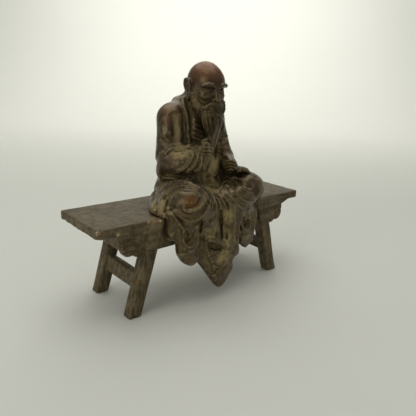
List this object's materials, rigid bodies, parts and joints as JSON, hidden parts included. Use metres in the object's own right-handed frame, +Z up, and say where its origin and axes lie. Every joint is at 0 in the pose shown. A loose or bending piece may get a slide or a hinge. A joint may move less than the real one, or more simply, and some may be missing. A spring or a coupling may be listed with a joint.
{
  "type": "seated monk statuette on a bench",
  "caption": "Small cast bronze of a bald, bearded monk in a wide robe, sitting cross-legged on a trestle bench with the robe's tail hanging down in front.",
  "frame": {"origin": "on the ground, at the centre of the footprint of the whole piece", "axes": "+Z up; +X along the bench, toward the figure's left hand; the figure faces -Y"},
  "size_m": [0.11, 0.0436, 0.0992],
  "materials": {
    "bench_bronze": "dry brown patina with khaki dust, worn at the edges",
    "figure_bronze": "dark brown patina, glossy where handled, khaki dust in the folds"
  },
  "bodies": {
    "root": {"bench": "bench_bronze", "figure": "figure_bronze"}
  },
  "joints": []
}
